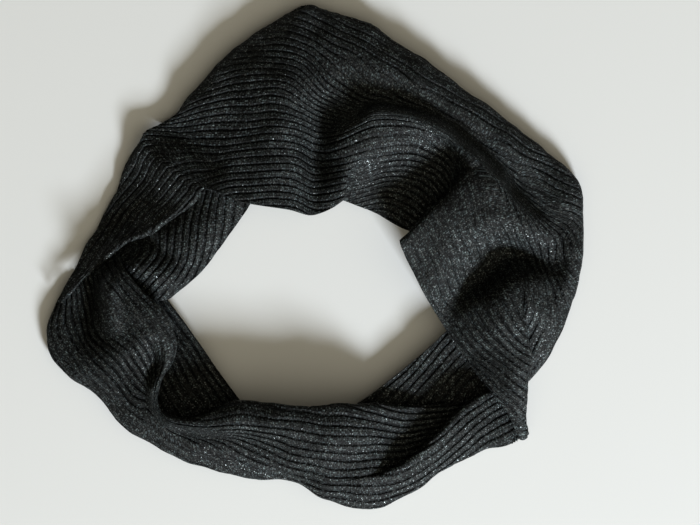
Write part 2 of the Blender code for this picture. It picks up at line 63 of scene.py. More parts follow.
MM = 0.001
KNIT = 2.4  # thickness of the ribbed wall
SEAM = 0.3  # gap between stretches that continue one another, hidden in a groove
REST = 0.5  # height of a rolled edge's lowest side over the surface
LOWEST_FACE = 0.3  # least height of the wall's lower face over the surface
RIB_PITCH = 5.3  # width of one rib and its groove
RIB_POWERS = (2.4, 0.7)  # the first flattens a rib's back, the second rounds its sides
CROWDED_PITCH = 1.8  # ribs closer than this leave no relief
FREE_PITCH = 3.4  # ribs farther apart than this keep all of it
TAUT_PITCH = (5.6, 7.2)  # from the first to the second, stretched ribs lose most of it
TAUT_RELIEF = 0.3
COLUMNS_PER_RIB = 7
ROW_STEP = 2.4  # distance between sections of the finished wall
FEWEST_ROWS = 3  # least number of them from one row of a table to the next
ROW_SAMPLES = (9, 7)  # lines, and points on each, that a row's length is measured at
PROFILE_SAMPLES = 141
CREASE_ANGLE = 60.0
SLOPE_STEP = 0.02  # share of a row or column that normals are measured over
FOLD_SAMPLES = 24  # points along a small fold's path
FOLD_REACH = 2.5  # widths from its path, past which it adds nothing
FOLD_START, FOLD_SPAN = 0.1, 0.8  # the part of a half wave that fades it out at its ends
WAVE_BEND = 0.9  # phase by which a slow wave's crests wander
WAVE_BEND_LENGTH = 1.7  # length of that wandering, in wavelengths
WAVE_SHIFT = 2.3  # phase from one wave of a table to the next
LEAST_TURN = 0.02  # an edge that turns less than this isn't rolled
LEAST_RADIUS = 1.0  # smallest radius of a roll
EDGE_RISE = 1.0  # height that a profile may gain where its edge is cut back for a roll
STEEPEST_START = 1.1  # steepest slope that a roll starts at, in radians
ROLL_SAMPLES = 16
REACH_SHARES = (0.25, 0.5, 0.75, 1.0)  # points along a roll's hidden reach
OUTER_ROLL = (6.0, 9.0)  # radius and hidden reach of the ring's outer edge, then of others
RIGHT_ROLL = (3.0, 8.0)
FLAP_ROLL = (2.5, 5.0)
CORNER_ROLL = (3.0, 6.0)
INNER_ROLL = (3.0, 7.0)
GROOVE = 0.7  # depth of the grooves between ribs
DEEP_GROOVE = 1.0  # their depth in the lower half of the ring and in the layers beneath
TINY = 1e-6
NEAR_ZERO = 1e-9

Pair = tuple[float, float]
Point = tuple[float, float, float]
Colour = tuple[float, float, float, float]
Ribs = tuple[float, ...]
Ramp = tuple[float, ...]  # where it starts and ends, and what it gives at each
Lines = tuple[np.ndarray, np.ndarray]  # points, with rib number after x, y and z, and normals
Socket = bpy.types.NodeSocket
Tree = bpy.types.NodeTree


class Held(Enum):
    LAID = "laid"
    FOLDED = "folded"


def section(name: str, columns: str) -> type:
    """A kind of row across the band: a point for each column, then the rib number at each."""
    return NamedTuple(name, [(column, Point) for column in columns.split()] + [("ribs", Ribs)])


Band = section("Band", "outer shoulder crease ridge waist inner")  # upper half of the ring
Flap = section("Flap", "ridge waist inner")  # inner half of the band
Bulge = section("Bulge", "outer shoulder crease ridge")  # outer half of the band
Lower = section("Lower", "outer hem seam middle upper inner")  # lower half of the ring
Corner = section("Corner", "outer hem seam")  # its lower right corner
Valley = section("Valley", "seam middle upper inner")  # the bottom where it sinks
Layer = section("Layer", "hidden left middle right inner")  # under the flap, from left to right
Under = section("Under", "edge middle deep")  # a lowest layer, from the opening's edge inwards


class Fold(NamedTuple):
    """A soft ridge, or a trough where the height is negative, along a path seen from above."""

    name: str
    path: tuple[Pair, ...]
    width: float
    height: float


class Roll(NamedTuple):
    """A side that folds under: its largest radius, its hidden reach and how far each row turns."""

    radius: float
    reach: float
    turns: tuple[float, ...]


# From the tip of the upper left flap to the fold where the band turns over into the top.
FLAP_ROWS = (
    Flap((-180, -30, 9), (-178.5, -31, 9.5), (-177, -32, 10.5), (21, 21.3, 21.6)),
    Flap((-172, -16, 7), (-169, -17.5, 9), (-164, -17, 13), (20.9, 21.6, 22.4)),
    Flap((-164, -1, 5), (-156, -3, 11), (-148, -3, 17), (20.5, 22.1, 23.5)),
    Flap((-153, 20, 4), (-143, 13, 9), (-132, 10, 20), (19.9, 22.5, 24.8)),
    Flap((-141, 42, 4), (-128, 29, 8), (-114, 17, 23), (19.3, 23.2, 27.1)),
    Flap((-131, 67, 5), (-114, 49, 12), (-94, 31, 25), (17.7, 22.7, 28.4)),
)
FLAP_END_RIBS = (0, 5, 11.5, 17, 22.1, 28.8)  # on the flap's side of the fold into the top

# From the upper left fold over the top and down the right side. Where the inner column steps
# back, the cloth lies in a pleat. Ribs run off at an edge and dive into the folds.
TOP_ROWS = (
    Band((-15, 168, 4), (-52, 135, 4), (-90, 96, 4), (-122, 81, 10), (-108, 62, 17), (-83, 40, 26),
         (-1, 5, 11.5, 17, 19.7, 23)),
    Band((-17, 170.5, 8), (-58, 143, 9), (-97, 100.5, 9), (-114.5, 85.5, 10), (-100, 66, 18),
         (-76, 48, 25), (-0.9, 5, 11.5, 17, 19.7, 23)),
    Band((-10, 174, 9.5), (-40, 148, 14), (-58, 118, 18), (-63, 83, 17), (-61, 65, 21),
         (-52, 39, 26), (-1.7, 4.1, 10.7, 17, 20.7, 26)),
    Band((-1, 177, 10.5), (-16, 147, 20), (-20, 119, 26), (-22, 92, 30), (-21, 71, 29),
         (-18, 33.5, 27), (-2.5, 4.1, 10.4, 16, 20.2, 27.6)),
    Band((18, 170.5, 11), (11, 144, 19), (6, 118, 20), (1, 88, 12), (0, 67, 10), (0, 30, 16),
         (-2.9, 2.1, 6.5, 15, 19.4, 26.5)),
    Band((39, 164, 11), (33, 141, 20), (25, 112, 19), (17, 86, 26), (20, 67, 27), (20, 41, 19),
         (-3.6, 0.6, 5.2, 15.7, 19.6, 25.6)),
    Band((54, 155, 11), (47, 136, 20), (37, 109, 19), (31, 93, 30), (34, 71, 28), (5, 46, 10),
         (-3.6, 0.1, 4.6, 15.5, 19.9, 24.5)),
    Band((68, 146, 11), (61, 129, 20), (51, 109, 19), (44, 99, 31), (44, 70, 24), (13, 43, 8),
         (-3.5, 0, 3.8, 15, 20.3, 25.5)),
    Band((89, 132, 11), (82, 118, 20), (74, 104, 19), (67, 97, 30), (67, 72, 19), (41, 32, 9),
         (-3.2, -0.2, 2.7, 15, 20.3, 30.7)),
    Band((110, 116, 11), (104, 104, 19), (96, 93, 18), (88, 88, 30), (88, 74, 18), (63, 20, 9),
         (-2.6, 0.1, 2.9, 15.2, 18.4, 31.3)),
    Band((124, 106, 11), (118, 94, 18), (110, 82, 17), (101, 78, 31), (98, 69, 21), (88, 14, 8),
         (-2.3, 0.3, 3.1, 15.3, 17.4, 28)),
    Band((137, 96, 11), (131, 84, 17), (121, 73, 16), (111, 71, 33), (105, 62, 28), (82, 15, 16),
         (-1.9, 0.7, 3.5, 15.3, 16.9, 26)),
    Band((148, 86, 11), (142, 73, 16), (130, 64, 15), (119, 62, 34), (108, 60, 31), (61, 12, 31),
         (-1.3, 1.4, 4, 15, 16.3, 24.8)),
    Band((167, 71, 11), (158, 57, 14), (142, 49, 14), (130, 48, 34), (113, 46, 36), (62, 3, 31),
         (-0.4, 2.6, 5.4, 14.2, 16.1, 25)),
    Band((185, 53, 9), (176, 39, 16), (155, 35, 14), (141, 32, 32), (115, 25, 35), (69, -11, 28),
         (1, 4.1, 6.7, 12.8, 16.4, 25)),
    Band((188, 30, 9), (180, 20, 16), (167, 18, 17), (149, 17, 28), (119, 17, 30), (76, -25, 25),
         (4.4, 6.8, 9.4, 12.4, 16.8, 24.7)),
    Band((188, 8, 9), (180, -1, 17), (166, -3, 15), (148, 1, 14), (124, -6, 14), (84, -38, 19),
         (6.8, 8.4, 10.5, 13.7, 17.4, 24.4)),
    Band((185, -16, 9), (176, -21, 18), (164, -22, 21), (146, -18, 29), (124, -24, 31),
         (92, -51, 17), (8.7, 10.2, 12.5, 15.3, 18.5, 25)),
    Band((179, -37, 9), (170, -39, 19), (160, -39, 25), (145, -36, 33), (127, -43, 33),
         (100, -62, 16), (10.5, 12, 13.5, 16, 19.4, 25.7)),
)

# The outer bulge, on under the right flap.
BULGE_ROWS = (
    Bulge((169, -60, 8), (163, -60, 15), (155, -58, 19), (141, -55, 18), (10.8, 11.7, 12.9, 15.5)),
    Bulge((159, -75, 8), (154, -74, 11), (148, -71, 13), (138, -68, 13), (11, 11.8, 12.9, 14.8)),
    Bulge((150, -86, 7), (146, -84, 8), (142, -81, 8), (135, -77, 8), (11.3, 12, 12.8, 14)),
)

# The right flap on top of it, down to its lower fold, where its ribs run out over the right side.
TAIL_ROWS = (
    Flap((147, -53, 30), (132, -62, 29), (107, -73, 16), (17.8, 21, 26.2)),
    Flap((151, -71, 26), (137, -77, 27), (116, -85, 18), (20.1, 22.9, 27)),
    Flap((149, -88, 22), (140, -92, 24), (124, -95, 21), (23, 24.8, 27.4)),
    Flap((148, -107, 17), (142, -108, 19), (135, -109, 18), (26, 26.9, 28)),
    Flap((148.5, -124, 10.5), (145.5, -126.5, 11), (142.5, -126, 11.5), (28.7, 28.9, 29.2)),
)

# From under the upper left flap, down the left side and along the bottom.
LOWER_ROWS = (
    Lower((-180, -29, 4), (-176, -24, 4), (-171, -19, 4), (-162, -8, 3), (-152, -1, 4),
          (-139, 8, 7), (15, 13, 11, 7.5, 4.4, 1.4)),
    Lower((-187, -50, 5), (-179, -46, 8), (-170, -41, 8), (-156, -31, 8), (-144, -20, 18),
          (-132, -10, 22), (15, 13, 11, 7.5, 4.4, 1.4)),
    Lower((-185, -69, 6), (-174, -64, 12), (-165, -60, 14), (-152, -51, 14), (-129, -37, 26),
          (-115, -27, 25), (15.5, 13.4, 11.6, 7.8, 4.3, 1.4)),
    Lower((-169, -86, 9), (-160, -80, 16), (-151, -74, 20), (-134, -62, 25), (-117, -50, 28),
          (-102, -42, 25), (15, 12.9, 10.9, 7.1, 3.6, 1.5)),
    Lower((-153, -97, 9), (-146, -91, 17), (-139, -85, 21), (-125, -74, 23), (-110, -64, 27),
          (-96, -57, 24), (14.4, 12.6, 10.8, 7.3, 3.6, 1.7)),
    Lower((-138, -115, 9), (-132, -107, 17), (-127, -101, 21), (-119, -90, 22), (-109, -80, 26),
          (-98, -71, 23), (14, 12.6, 11.1, 8.4, 3.4, 1.8)),
    Lower((-118.5, -129.5, 9), (-115, -121, 17), (-115, -116, 21), (-114, -106, 24),
          (-112, -97, 25), (-107, -86, 21), (14, 13, 12.1, 10.6, 3, 1.8)),
    Lower((-96.5, -141, 9), (-95, -134, 16), (-97, -129, 21), (-99, -120, 25), (-104, -112, 26),
          (-111, -102, 21), (13.8, 12.9, 12.1, 10.6, 3, 1.8)),
    Lower((-71, -150, 9), (-71, -144, 16), (-73, -137, 21), (-76, -126, 26), (-80, -118, 30),
          (-88, -111, 25), (13.3, 12.4, 11.4, 9.5, 3.2, 1.8)),
    Lower((-48, -155, 9), (-48, -148, 16), (-48, -141, 21), (-48, -127, 27), (-50, -115, 34),
          (-54, -99, 29), (12.4, 11, 9.8, 7.1, 3, 0.8)),
    Lower((-16, -158, 9), (-17, -151, 16), (-18, -144, 22), (-18, -130, 29), (-18, -116, 34),
          (-18, -102, 30), (10.9, 9.3, 7.8, 5.1, 2.5, 0.3)),
    Lower((10, -171, 9), (10, -164, 16), (11, -155, 22), (12, -137, 29), (12, -120, 33),
          (12, -102, 30), (12.3, 10.7, 8.6, 5.5, 2.7, 0)),
    Lower((38, -176, 9), (38, -165, 16), (36, -152, 22), (36, -135, 24), (35, -119, 29),
          (34, -102, 28), (12.4, 10.3, 8, 5, 2.4, -0.7)),
)

# The lower right corner, on under the right flap. Its ribs run out over the rolled seam side.
CORNER_ROWS = (
    Corner((66, -167, 9), (62, -157, 19), (57, -146, 24), (12.3, 9.6, 7.6)),
    Corner((92, -149, 9), (87, -138, 19), (82, -126, 26), (11.7, 8.9, 6.7)),
    Corner((117, -136, 9), (109, -120, 18), (101, -105, 25), (12.8, 9.3, 6)),
    Corner((134, -130, 7), (127, -113, 12), (120, -94, 17), (13.2, 10.2, 6.4)),
    Corner((143, -126, 4), (138, -110, 6), (131, -92, 10), (13.6, 10.8, 7)),
)

# The bottom band where it sinks into the valley under the corner.
VALLEY_ROWS = (
    Valley((57, -151, 12), (56, -134, 13), (56, -118, 17), (60, -103, 19), (8, 4.7, 1.2, -1.7)),
    Valley((75, -144, 9), (75, -128, 9), (79, -114, 11), (88, -102, 12), (7.5, 4.2, 0.8, -2.4)),
    Valley((90, -137, 8), (93, -124, 8.5), (98, -112, 9.5), (105, -102, 10), (7, 3.9, 0.7, -2.2)),
)

# The layer under the top and the upper left flap, with the pleat at its lower end.
LAYER_ROWS = (
    Layer((-105, 36, 6), (-90, 43, 9), (-75, 50, 12), (-60, 46, 14), (-43, 41, 14),
          (3, 5.9, 8.3, 11, 13.8)),
    Layer((-115, 22, 5), (-100, 28, 9), (-84, 32, 13), (-69, 31, 15), (-52, 27, 12),
          (1.5, 4.4, 7.2, 9.9, 12.9)),
    Layer((-131, 17, 5), (-111, 14, 11), (-96, 13, 14), (-80, 13, 16), (-63, 12, 11),
          (0, 2.6, 5.5, 8.5, 11.7)),
    Layer((-137, 6, 8), (-120, 3, 16), (-105, 0, 15), (-90, -3, 15), (-75, -4, 10),
          (-1.3, 1.2, 4.2, 7.2, 10.4)),
    Layer((-135, -4, 10), (-124, -8, 18), (-113, -13, 18), (-100, -17, 14), (-87, -17, 9),
          (-0.2, 2, 4.3, 6.7, 9)),
    Layer((-132, -14, 8), (-125, -20, 12), (-117, -26, 12), (-108, -29, 11), (-101, -27, 9),
          (1.7, 3.6, 5.6, 7.3, 8.3)),
)

# The lowest layers that show beside the opening, from its upper end to its lower end.
UNDER_LEFT_ROWS = (
    Under((-110, -20, 5), (-122, -24, 5), (-135, -29, 5), (0, 2.5, 5)),
    Under((-94, -41, 8), (-105, -47, 7), (-119, -57, 5), (0, 2.5, 5.5)),
    Under((-77, -65, 10), (-90, -71, 8), (-112, -84, 5), (0, 2.7, 7.5)),
    Under((-61, -88, 10), (-77, -94, 8), (-112, -103, 5), (0, 3.2, 8.5)),
    Under((-47, -106, 10), (-63, -113, 8), (-90, -123, 5), (0, 3.2, 7)),
)
UNDER_RIGHT_ROWS = (
    Under((23, -106, 8), (33, -112, 7), (44, -119, 5), (0, 1.9, 4)),
    Under((42, -93, 10), (54, -101, 8), (66, -112, 5), (0.5, 2.8, 5.6)),
    Under((70, -71, 12), (81, -84, 8.5), (99, -108, 5), (1, 4.3, 9)),
    Under((92, -51, 11), (103, -66, 8.5), (122, -97, 5), (1.7, 5.2, 10.7)),
    Under((105, -42, 11), (117, -59, 8.5), (131, -80, 5), (2.2, 5.9, 10)),
)

# Folds too small to show in the sections: name, path, width and height.
TOP_FOLDS = (
    Fold("upper left trough", ((-105, 93), (-88, 82), (-70, 68)), 9, -4),
    Fold("right hollow", ((113, 7), (130, 5), (150, 2), (168, -8)), 8, -4),
)
LOWER_FOLDS = (
    Fold("left pocket", ((-152, -6), (-157, -27), (-160, -48)), 8, -5),
    Fold("pocket's ridge", ((-143, -13), (-143, -28), (-140, -46)), 6, 8),
    Fold("dimple", ((-113, -62), (-112, -72), (-114, -82)), 6, -9),
    Fold("soft crease", ((-97, -119), (-70, -121), (-45, -120)), 6, -3),
)
LAYER_FOLDS = (
    Fold("lobe", ((-134, -3), (-117, -9), (-102, -21)), 7, 4),
    Fold("lobe's trough", ((-116, 12), (-102, 3), (-88, -9)), 6, -4),
)


def catmull_rom(points: np.ndarray, place: np.ndarray) -> np.ndarray:
    """Points of a smooth curve through the given ones.

    Args:
        points: The points, first axis along the curve.
        place: Fractional places along it, where 1.5 is halfway from point 1 to point 2.

    Returns:
        One point for each place.
    """
    points = np.asarray(points, float)
    last = len(points) - 1
    place = np.clip(np.asarray(place, float), 0, last)
    index = np.minimum(place.astype(int), last - 1)
    t = (place - index).reshape(-1, *([1] * (points.ndim - 1)))
    before = np.where(index == 0, 0, index - 1)
    after = np.minimum(index + 2, last)
    p0, p1, p2, p3 = points[before], points[index], points[index + 1], points[after]
    m1 = (p2 - p0) / 2
    m2 = (p3 - p1) / 2
    return (
        (2 * t**3 - 3 * t**2 + 1) * p1
        + (t**3 - 2 * t**2 + t) * m1
        + (3 * t**2 - 2 * t**3) * p2
        + (t**3 - t**2) * m2
    )


def unit(vectors: np.ndarray) -> np.ndarray:
    """Vectors at length one."""
    return vectors / np.maximum(np.linalg.norm(vectors, axis=-1, keepdims=True), NEAR_ZERO)


def gaps(points: np.ndarray, axis: int) -> np.ndarray:
    """Distances between neighbouring points along an axis of a grid."""
    return np.linalg.norm(np.diff(points[..., :3], axis=axis), axis=-1)


def fold_height(folds: tuple[Fold, ...], points: np.ndarray) -> np.ndarray:
    """Height that small folds add.

    Args:
        folds: The folds.
        points: Places on the cloth, with x and y first.

    Returns:
        The height at each place.
    """
    total = np.zeros(points.shape[:-1])
    flat = points[..., :2].reshape(-1, 2)
    for fold in folds:
        path = catmull_rom(np.array(fold.path), np.linspace(0, len(fold.path) - 1, FOLD_SAMPLES))
        reach = FOLD_REACH * fold.width
        near = ((flat > path.min(0) - reach) & (flat < path.max(0) + reach)).all(-1)
        apart = np.linalg.norm(flat[near, None, :] - path, axis=-1)
        nearest = apart.argmin(-1) / (len(path) - 1)
        fade = np.sin(math.pi * (nearest * FOLD_SPAN + FOLD_START)) ** 0.5
        added = np.zeros(len(flat))
        added[near] = fold.height * fade * np.exp(-((apart.min(-1) / fold.width) ** 2))
        total += added.reshape(total.shape)
    return total


class Wave(NamedTuple):
    """One of the slow waves that make laid cloth uneven: direction, length and height."""

    bearing: float
    length: float
    height: float


UNEVENNESS = (
    Wave(0.4, 37, 0.35),
    Wave(1.3, 29, 0.30),
    Wave(2.2, 43, 0.40),
    Wave(2.9, 23, 0.22),
    Wave(0.9, 17, 0.14),
)
RIB_WANDER = (Wave(0.2, 61, 0.10), Wave(1.7, 47, 0.09), Wave(2.6, 31, 0.07))


def waves(points: np.ndarray, table: tuple[Wave, ...]) -> np.ndarray:
    """Sum of slow waves over the plan.

    Args:
        points: Places, with x and y first.
        table: The waves.

    Returns:
        The sum at each place.
    """
    total = np.zeros(points.shape[:-1])
    for number, wave in enumerate(table):
        along = points[..., 0] * math.cos(wave.bearing) + points[..., 1] * math.sin(wave.bearing)
        across = points[..., 1] * math.cos(wave.bearing) - points[..., 0] * math.sin(wave.bearing)
        bend = WAVE_BEND * np.sin(across * math.tau / (wave.length * WAVE_BEND_LENGTH) + number)
        phase = along * math.tau / wave.length + bend + WAVE_SHIFT * number
        total += wave.height * np.sin(phase)
    return total


@dataclass
class Loft:
    """A sheet of cloth through sections. Each point holds x, y, z and its rib number."""

    sections: np.ndarray
    folds: tuple[Fold, ...] = ()

    @classmethod
    def through(
        cls, rows: Sequence[tuple], folds: tuple[Fold, ...] = (), before: int = 0, after: int = 0
    ) -> Loft:
        """A loft through rows of a table.

        Args:
            rows: Rows with points and ribs.
            folds: Small folds on it.
            before: How often each row's first point is repeated, to give it a full set of columns.
            after: The same for its last point.

        Returns:
            The loft.
        """
        return cls(np.array([padded(row, before, after) for row in rows]), folds)

    @property
    def last_row(self) -> int:
        """Number of its last row."""
        return len(self.sections) - 1

    def __add__(self, other: Loft) -> Loft:
        """This loft, carried on by another with the same columns."""
        return Loft(np.concatenate([self.sections, other.sections]), self.folds + other.folds)

    def at(self, along: np.ndarray, across: np.ndarray) -> np.ndarray:
        """Points at places along and across the rows."""
        sections = catmull_rom(self.sections, along)
        grid = catmull_rom(sections.transpose(1, 0, 2), across).transpose(1, 0, 2)
        grid[..., 2] += fold_height(self.folds, grid)
        return grid

    def normals(self, along: np.ndarray, across: np.ndarray) -> np.ndarray:
        """Upward normals, from a short step to each side, or to one side at an edge."""
        ahead = self.at(along + SLOPE_STEP, across) - self.at(along - SLOPE_STEP, across)
        aside = self.at(along, across + SLOPE_STEP) - self.at(along, across - SLOPE_STEP)
        normal = unit(np.cross(ahead[..., :3], aside[..., :3]))
        return normal * np.where(np.median(normal[..., 2]) < 0, -1, 1)


def padded(row: tuple, before: int, after: int) -> list[tuple[float, ...]]:
    """A table's row as points with rib number, its end points repeated."""
    *points, ribs = row
    full = [(*point, rib) for point, rib in zip(points, ribs)]
    return [full[0]] * before + full + [full[-1]] * after


def rolled(points: np.ndarray, normals: np.ndarray, roll: Roll, turn: float) -> Lines:
    """A profile whose last point is an edge, with that edge turned under.

    Args:
        points: The profile, with rib number after x, y and z.
        normals: Its normals.
        roll: The roll.
        turn: How far it turns, from 0 to 1.

    Returns:
        The longer profile and its normals.
    """
    if turn < LEAST_TURN:
        return points, normals
    to_edge = np.linalg.norm(points[:, :2] - points[-1, :2], axis=1)
    room = points[-1, 2] + EDGE_RISE - KNIT / 2 - REST
    radius = turn * min(roll.radius, max(LEAST_RADIUS, room / 2))
    kept = to_edge > radius
    kept[0] = True
    points, normals = points[kept], normals[kept]
    lead = points[-1] - points[-2]
    out = unit(np.array([lead[0], lead[1], 0.0]))
    slope = math.atan2(-lead[2], math.hypot(lead[0], lead[1]))
    slope = float(np.clip(slope, 0.0, STEEPEST_START))
    room = points[-1, 2] - KNIT / 2 - REST
    radius = turn * min(roll.radius, max(LEAST_RADIUS, room / (1 + math.cos(slope))))
    up = np.array([0.0, 0.0, 1.0])
    angles = np.linspace(slope, math.pi, ROLL_SAMPLES)[1:]
    arc = [
        points[-1, :3]
        + out * radius * (math.sin(a) - math.sin(slope))
        + up * radius * (math.cos(a) - math.cos(slope))
        for a in angles
    ]
    back = [arc[-1] - out * roll.reach * turn * share for share in REACH_SHARES]
    facing = [out * math.sin(a) + up * math.cos(a) for a in angles] + [-up] * len(back)
    added = np.array(arc + back)
    length = np.cumsum(gaps(np.vstack([points[-1:, :3], added]), 0))
    ribs = points[-1, 3] + length / RIB_PITCH * (1 if lead[3] > 0 else -1)
    return (
        np.vstack([points, np.column_stack([added, ribs])]),
        np.vstack([normals, facing]),
    )


def evenly_ribbed(points: np.ndarray, normals: np.ndarray, count: int) -> Lines:
    """A profile at evenly spaced rib numbers, so that a mesh's columns run along its ribs."""
    sign = 1 if points[-1, 3] > points[0, 3] else -1
    ribs = np.maximum.accumulate(points[:, 3] * sign) + np.arange(len(points)) * TINY
    places = np.linspace(ribs[0], ribs[-1], count)
    spread = np.stack([np.interp(places, ribs, points[:, k]) for k in range(4)], -1)
    turned = np.stack([np.interp(places, ribs, normals[:, k]) for k in range(3)], -1)
    spread[:, 3] = places * sign
    return spread, unit(turned)


def trimmed(points: np.ndarray, amount: float) -> np.ndarray:
    """A profile with this much taken off its start."""
    step = points[1] - points[0]
    first = points[0] + step * amount / np.linalg.norm(step[:3])
    return np.vstack([first, points[1:]])


def rib_shape(ribs: np.ndarray) -> np.ndarray:
    """Height of the rib at each rib number, from 0 in a groove to 1 on a rib's back."""
    share = np.abs(2 * (ribs - np.floor(ribs)) - 1)
    return (1 - share ** RIB_POWERS[0]) ** RIB_POWERS[1]


@dataclass
class Stretch:
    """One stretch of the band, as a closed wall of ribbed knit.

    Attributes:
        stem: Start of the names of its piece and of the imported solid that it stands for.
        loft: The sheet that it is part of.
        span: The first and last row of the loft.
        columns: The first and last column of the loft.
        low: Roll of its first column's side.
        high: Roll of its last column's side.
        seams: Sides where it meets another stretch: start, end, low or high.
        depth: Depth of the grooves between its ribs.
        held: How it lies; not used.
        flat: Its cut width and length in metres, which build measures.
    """

    stem: str
    loft: Loft
    span: tuple[int, int]
    columns: tuple[int, int]
    low: Roll | None = None
    high: Roll | None = None
    seams: tuple[str, ...] = ()
    depth: float = GROOVE
    held: Held = Held.FOLDED
    flat: Pair = field(default=(0.0, 0.0), init=False)

    @property
    def name(self) -> str:
        """Name of its piece."""
        return f"{self.stem}_knit"

    @property
    def node(self) -> str:
        """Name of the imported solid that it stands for."""
        return f"{self.stem}_stretch"

    def stations(self) -> np.ndarray:
        """Places along the rows, about ROW_STEP apart on the cloth's longest line."""
        places = []
        across = np.linspace(*self.columns, ROW_SAMPLES[0])
        for start in range(*self.span):
            fine = np.linspace(start, start + 1, ROW_SAMPLES[1])
            longest = gaps(self.loft.at(fine, across), 0).sum(0).max()
            count = max(FEWEST_ROWS, math.ceil(longest / ROW_STEP))
            places.append(np.linspace(start, start + 1, count, endpoint=False))
        return np.concatenate([*places, [self.span[1]]])

    def profiles(self) -> Lines:
        """Points and normals of the middle of the wall, its sides rolled or trimmed."""
        along = self.stations()
        across = np.linspace(*self.columns, PROFILE_SAMPLES)
        grid = self.loft.at(along, across)
        normals = self.loft.normals(along, across)
        for side, edge, inside in (("start", 0, 1), ("end", -1, -2)):
            if side in self.seams:
                grid[edge, :, :3] += unit(grid[inside] - grid[edge])[:, :3] * SEAM / 2
        made = [self.sides(place, *line) for place, *line in zip(along, grid, normals)]
        ribs = max(abs(line[-1, 3] - line[0, 3]) for line, _ in made)
        count = math.ceil(ribs * COLUMNS_PER_RIB) + 1
        lines = [evenly_ribbed(line, turned, count) for line, turned in made]
        return np.array([line for line, _ in lines]), np.array([turned for _, turned in lines])

    def sides(self, place: float, line: np.ndarray, turned: np.ndarray) -> Lines:
        """One profile with its sides finished.

        Args:
            place: Its place along the rows.
            line: Its points.
            turned: Its normals.

        Returns:
            The finished points and normals.
        """
        rows = range(self.span[0], self.span[1] + 1)
        for roll, flip in ((self.high, 1), (self.low, -1)):
            if roll:
                turn = float(np.interp(place, rows, roll.turns))
                line, turned = rolled(line[::flip], turned[::flip], roll, turn)
                line, turned = line[::flip], turned[::flip]
        if "low" in self.seams:
            line = trimmed(line, SEAM / 2)
        if "high" in self.seams:
            line = trimmed(line[::-1], SEAM / 2)[::-1]
        return line, turned

    def build(self) -> bpy.types.Object:
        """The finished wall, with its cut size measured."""
        grid, normals = self.profiles()
        piece = knit_wall(self.name, grid, normals, self.depth)
        width, length = np.median(gaps(grid, 1).sum(1)), np.median(gaps(grid, 0).sum(0))
        self.flat = (float(width) * MM, float(length) * MM)
        return piece


def ribbing(grid: np.ndarray) -> np.ndarray:
    """How much of the ribs' relief shows: less where they crowd into a fold or are stretched.

    Args:
        grid: Points of the cloth, with rib number after x, y and z.

    Returns:
        The share at each point, from 0 to 1.
    """
    pitch = gaps(grid, 1) / np.maximum(np.abs(np.diff(grid[..., 3], axis=1)), TINY)
    inside = (pitch[:, 1:] + pitch[:, :-1]) / 2
    pitch = np.concatenate([pitch[:, :1], inside, pitch[:, -1:]], axis=1)
    loose = np.clip((pitch - CROWDED_PITCH) / (FREE_PITCH - CROWDED_PITCH), 0, 1)
    return loose * np.interp(pitch, TAUT_PITCH, (1, TAUT_RELIEF))


def knit_wall(name: str, grid: np.ndarray, normals: np.ndarray, depth: float) -> bpy.types.Object:
    """A closed wall of knit about a grid of points, with ribs on both of its sides.

    Args:
        name: The piece's name.
        grid: Points of the wall's middle, with rib number after x, y and z.
        normals: The wall's outward direction at each point.
        depth: Depth of the grooves.

    Returns:
        The piece, its rib number and length in its UV map.
    """
    rows, columns = grid.shape[:2]
    ahead = grid[1:, :-1, :3] - grid[:-1, :-1, :3]
    aside = grid[:-1, 1:, :3] - grid[:-1, :-1, :3]
    if np.sum(np.cross(aside, ahead) * normals[:-1, :-1]) < 0:
        grid, normals = grid[:, ::-1], normals[:, ::-1]
    bpy.ops.object.select_all(action="DESELECT")
    bpy.ops.mesh.primitive_grid_add(x_subdivisions=columns - 1, y_subdivisions=rows - 1, size=1)
    piece = bpy.context.object
    piece.name = name
    piece.data.name = name
    centre = grid[..., :3] + normals * waves(grid, UNEVENNESS)[..., None]
    centre[..., 2] = np.maximum(centre[..., 2], KNIT / 2 + LOWEST_FACE)
    ribs = grid[..., 3] + waves(grid, RIB_WANDER)
    lay_uv(piece, grid, ribs)
    wall = piece.modifiers.new("wall", "SOLIDIFY")
    wall.thickness = KNIT * MM
    wall.offset = -1
    bpy.ops.object.modifier_apply(modifier=wall.name)
    share = ribbing(grid)
    face = centre + normals * (KNIT / 2 - depth * share * (1 - rib_shape(ribs)))[..., None]
    back = centre - normals * (KNIT / 2 - depth / 2 * share * rib_shape(ribs))[..., None]
    points = np.concatenate([face.reshape(-1, 3), back.reshape(-1, 3)]) * MM
    piece.data.vertices.foreach_set("co", points.ravel())
    shown = piece.data.attributes.new("Ribbing", "FLOAT", "POINT")
    shown.data.foreach_set("value", np.tile(share.ravel(), 2))
    piece.data.update()
    bpy.ops.object.shade_smooth_by_angle(angle=math.radians(CREASE_ANGLE))
    return piece


def lay_uv(piece: bpy.types.Object, grid: np.ndarray, ribs: np.ndarray) -> None:
    """Writes rib number and length along the cloth, both in metres of cloth, to a UV map.

    Args:
        piece: The flat grid that becomes the cloth.
        grid: Where its points go.
        ribs: Rib number at each point.
    """
    length = np.concatenate([[0], np.cumsum(gaps(grid, 0).mean(1))])
    u = ribs * RIB_PITCH * MM
    v = np.broadcast_to(length[:, None] * MM, u.shape)
    flat = np.stack([u.ravel(), v.ravel()], -1)
    corners = np.zeros(len(piece.data.loops), dtype=int)
    piece.data.loops.foreach_get("vertex_index", corners)
    layer = piece.data.uv_layers[0]
    layer.name = "Cloth"
    layer.uv.foreach_set("vector", flat[corners].ravel())


